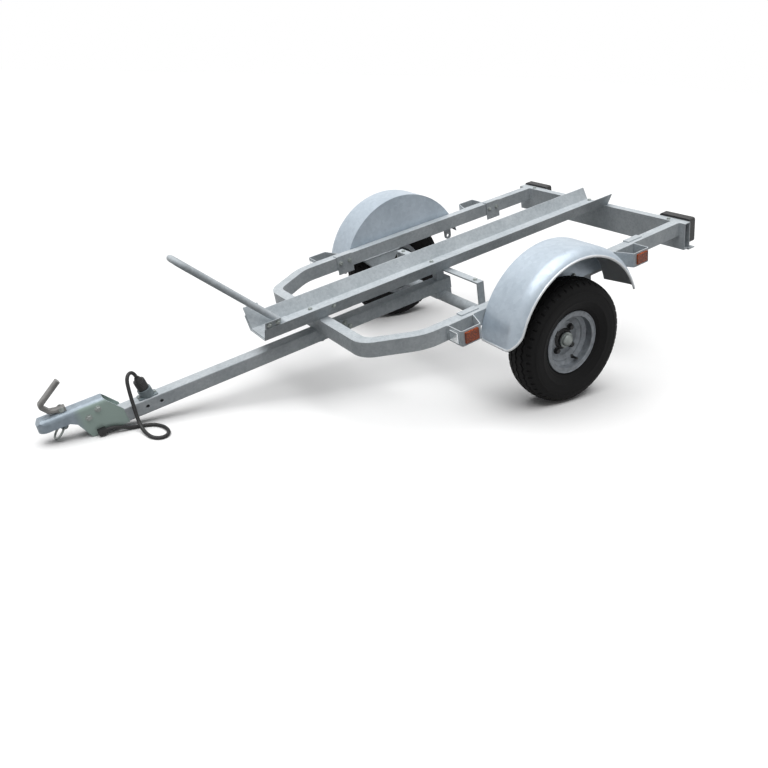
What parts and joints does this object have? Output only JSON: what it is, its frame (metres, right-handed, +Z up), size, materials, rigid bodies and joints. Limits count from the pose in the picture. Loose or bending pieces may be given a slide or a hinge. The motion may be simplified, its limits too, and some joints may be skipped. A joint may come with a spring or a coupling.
{
  "type": "single motorcycle trailer",
  "caption": "Galvanised single-axle trailer with a flared wheel rail, front wheel hoop, mudguards, ball coupling and rear lamps, parked nose down on its coupling.",
  "frame": {"origin": "on the ground, at the middle of the trailer's footprint", "axes": "+X forward to the coupling, +Y to the trailer's left, +Z up"},
  "size_m": [2.4838, 1.28, 0.6315],
  "materials": {
    "galvanised": "hot-dip galvanised, dull",
    "mudguard_sheet": "smooth silver grey",
    "wheel_silver": "silver paint",
    "hub_iron": "dark, dull",
    "cap_steel": "zinc plated",
    "coupling_zinc": "zinc plated",
    "tyre": "road rubber",
    "lamp_black": "black moulding",
    "lens_red": "clear red lens",
    "reflector_white": "clear reflector",
    "reflector_amber": "amber reflector",
    "plug_black": "black moulding",
    "holder_grey": "grey moulding",
    "lead_rubber": "black sheath"
  },
  "bodies": {
    "chassis": {"drawbar": "galvanised", "frame_tube_left": "galvanised", "frame_tube_right": "galvanised", "rear_crossmember": "galvanised", "lamp_carriers": "galvanised", "rail": "galvanised", "hoop_bracket": "galvanised", "wheel_hoop": "galvanised", "axle_tube": "galvanised", "axle_saddle": "galvanised", "axle_brackets": "galvanised", "axle_arm_left": "galvanised", "axle_arm_right": "galvanised", "rail_bridge": "galvanised", "bridge_post": "galvanised", "front_reflector_brackets": "galvanised", "rear_reflector_brackets": "galvanised", "frame_clamps": "galvanised", "lashing_lugs": "galvanised", "guard_pads": "galvanised", "mudguard_left": "mudguard_sheet", "mudguard_right": "mudguard_sheet", "coupling_body": "coupling_zinc", "coupling_lever": "coupling_zinc", "safety_ring": "coupling_zinc", "rear_lamps": "lamp_black", "rear_lenses": "lens_red", "front_reflectors": "reflector_white", "front_side_reflectors": "reflector_amber", "rear_side_reflectors": "reflector_amber", "plug": "plug_black", "plug_holder": "holder_grey", "lead": "lead_rubber", "lead_gland": "lead_rubber"},
    "wheel_left": {"tyre_left": "tyre", "rim_left": "wheel_silver", "hub_left": "hub_iron", "hub_cap_left": "cap_steel"},
    "wheel_right": {"tyre_right": "tyre", "rim_right": "wheel_silver", "hub_right": "hub_iron", "hub_cap_right": "cap_steel"}
  },
  "joints": [
    {"name": "wheel_left_spin", "type": "hinge", "parent": "chassis", "child": "wheel_left", "pos_m": [-0.45241, 0.56, 0.2325], "axis": [0, 1, 0], "continuous": true},
    {"name": "wheel_right_spin", "type": "hinge", "parent": "chassis", "child": "wheel_right", "pos_m": [-0.45241, -0.56, 0.2325], "axis": [0, 1, 0], "continuous": true}
  ]
}
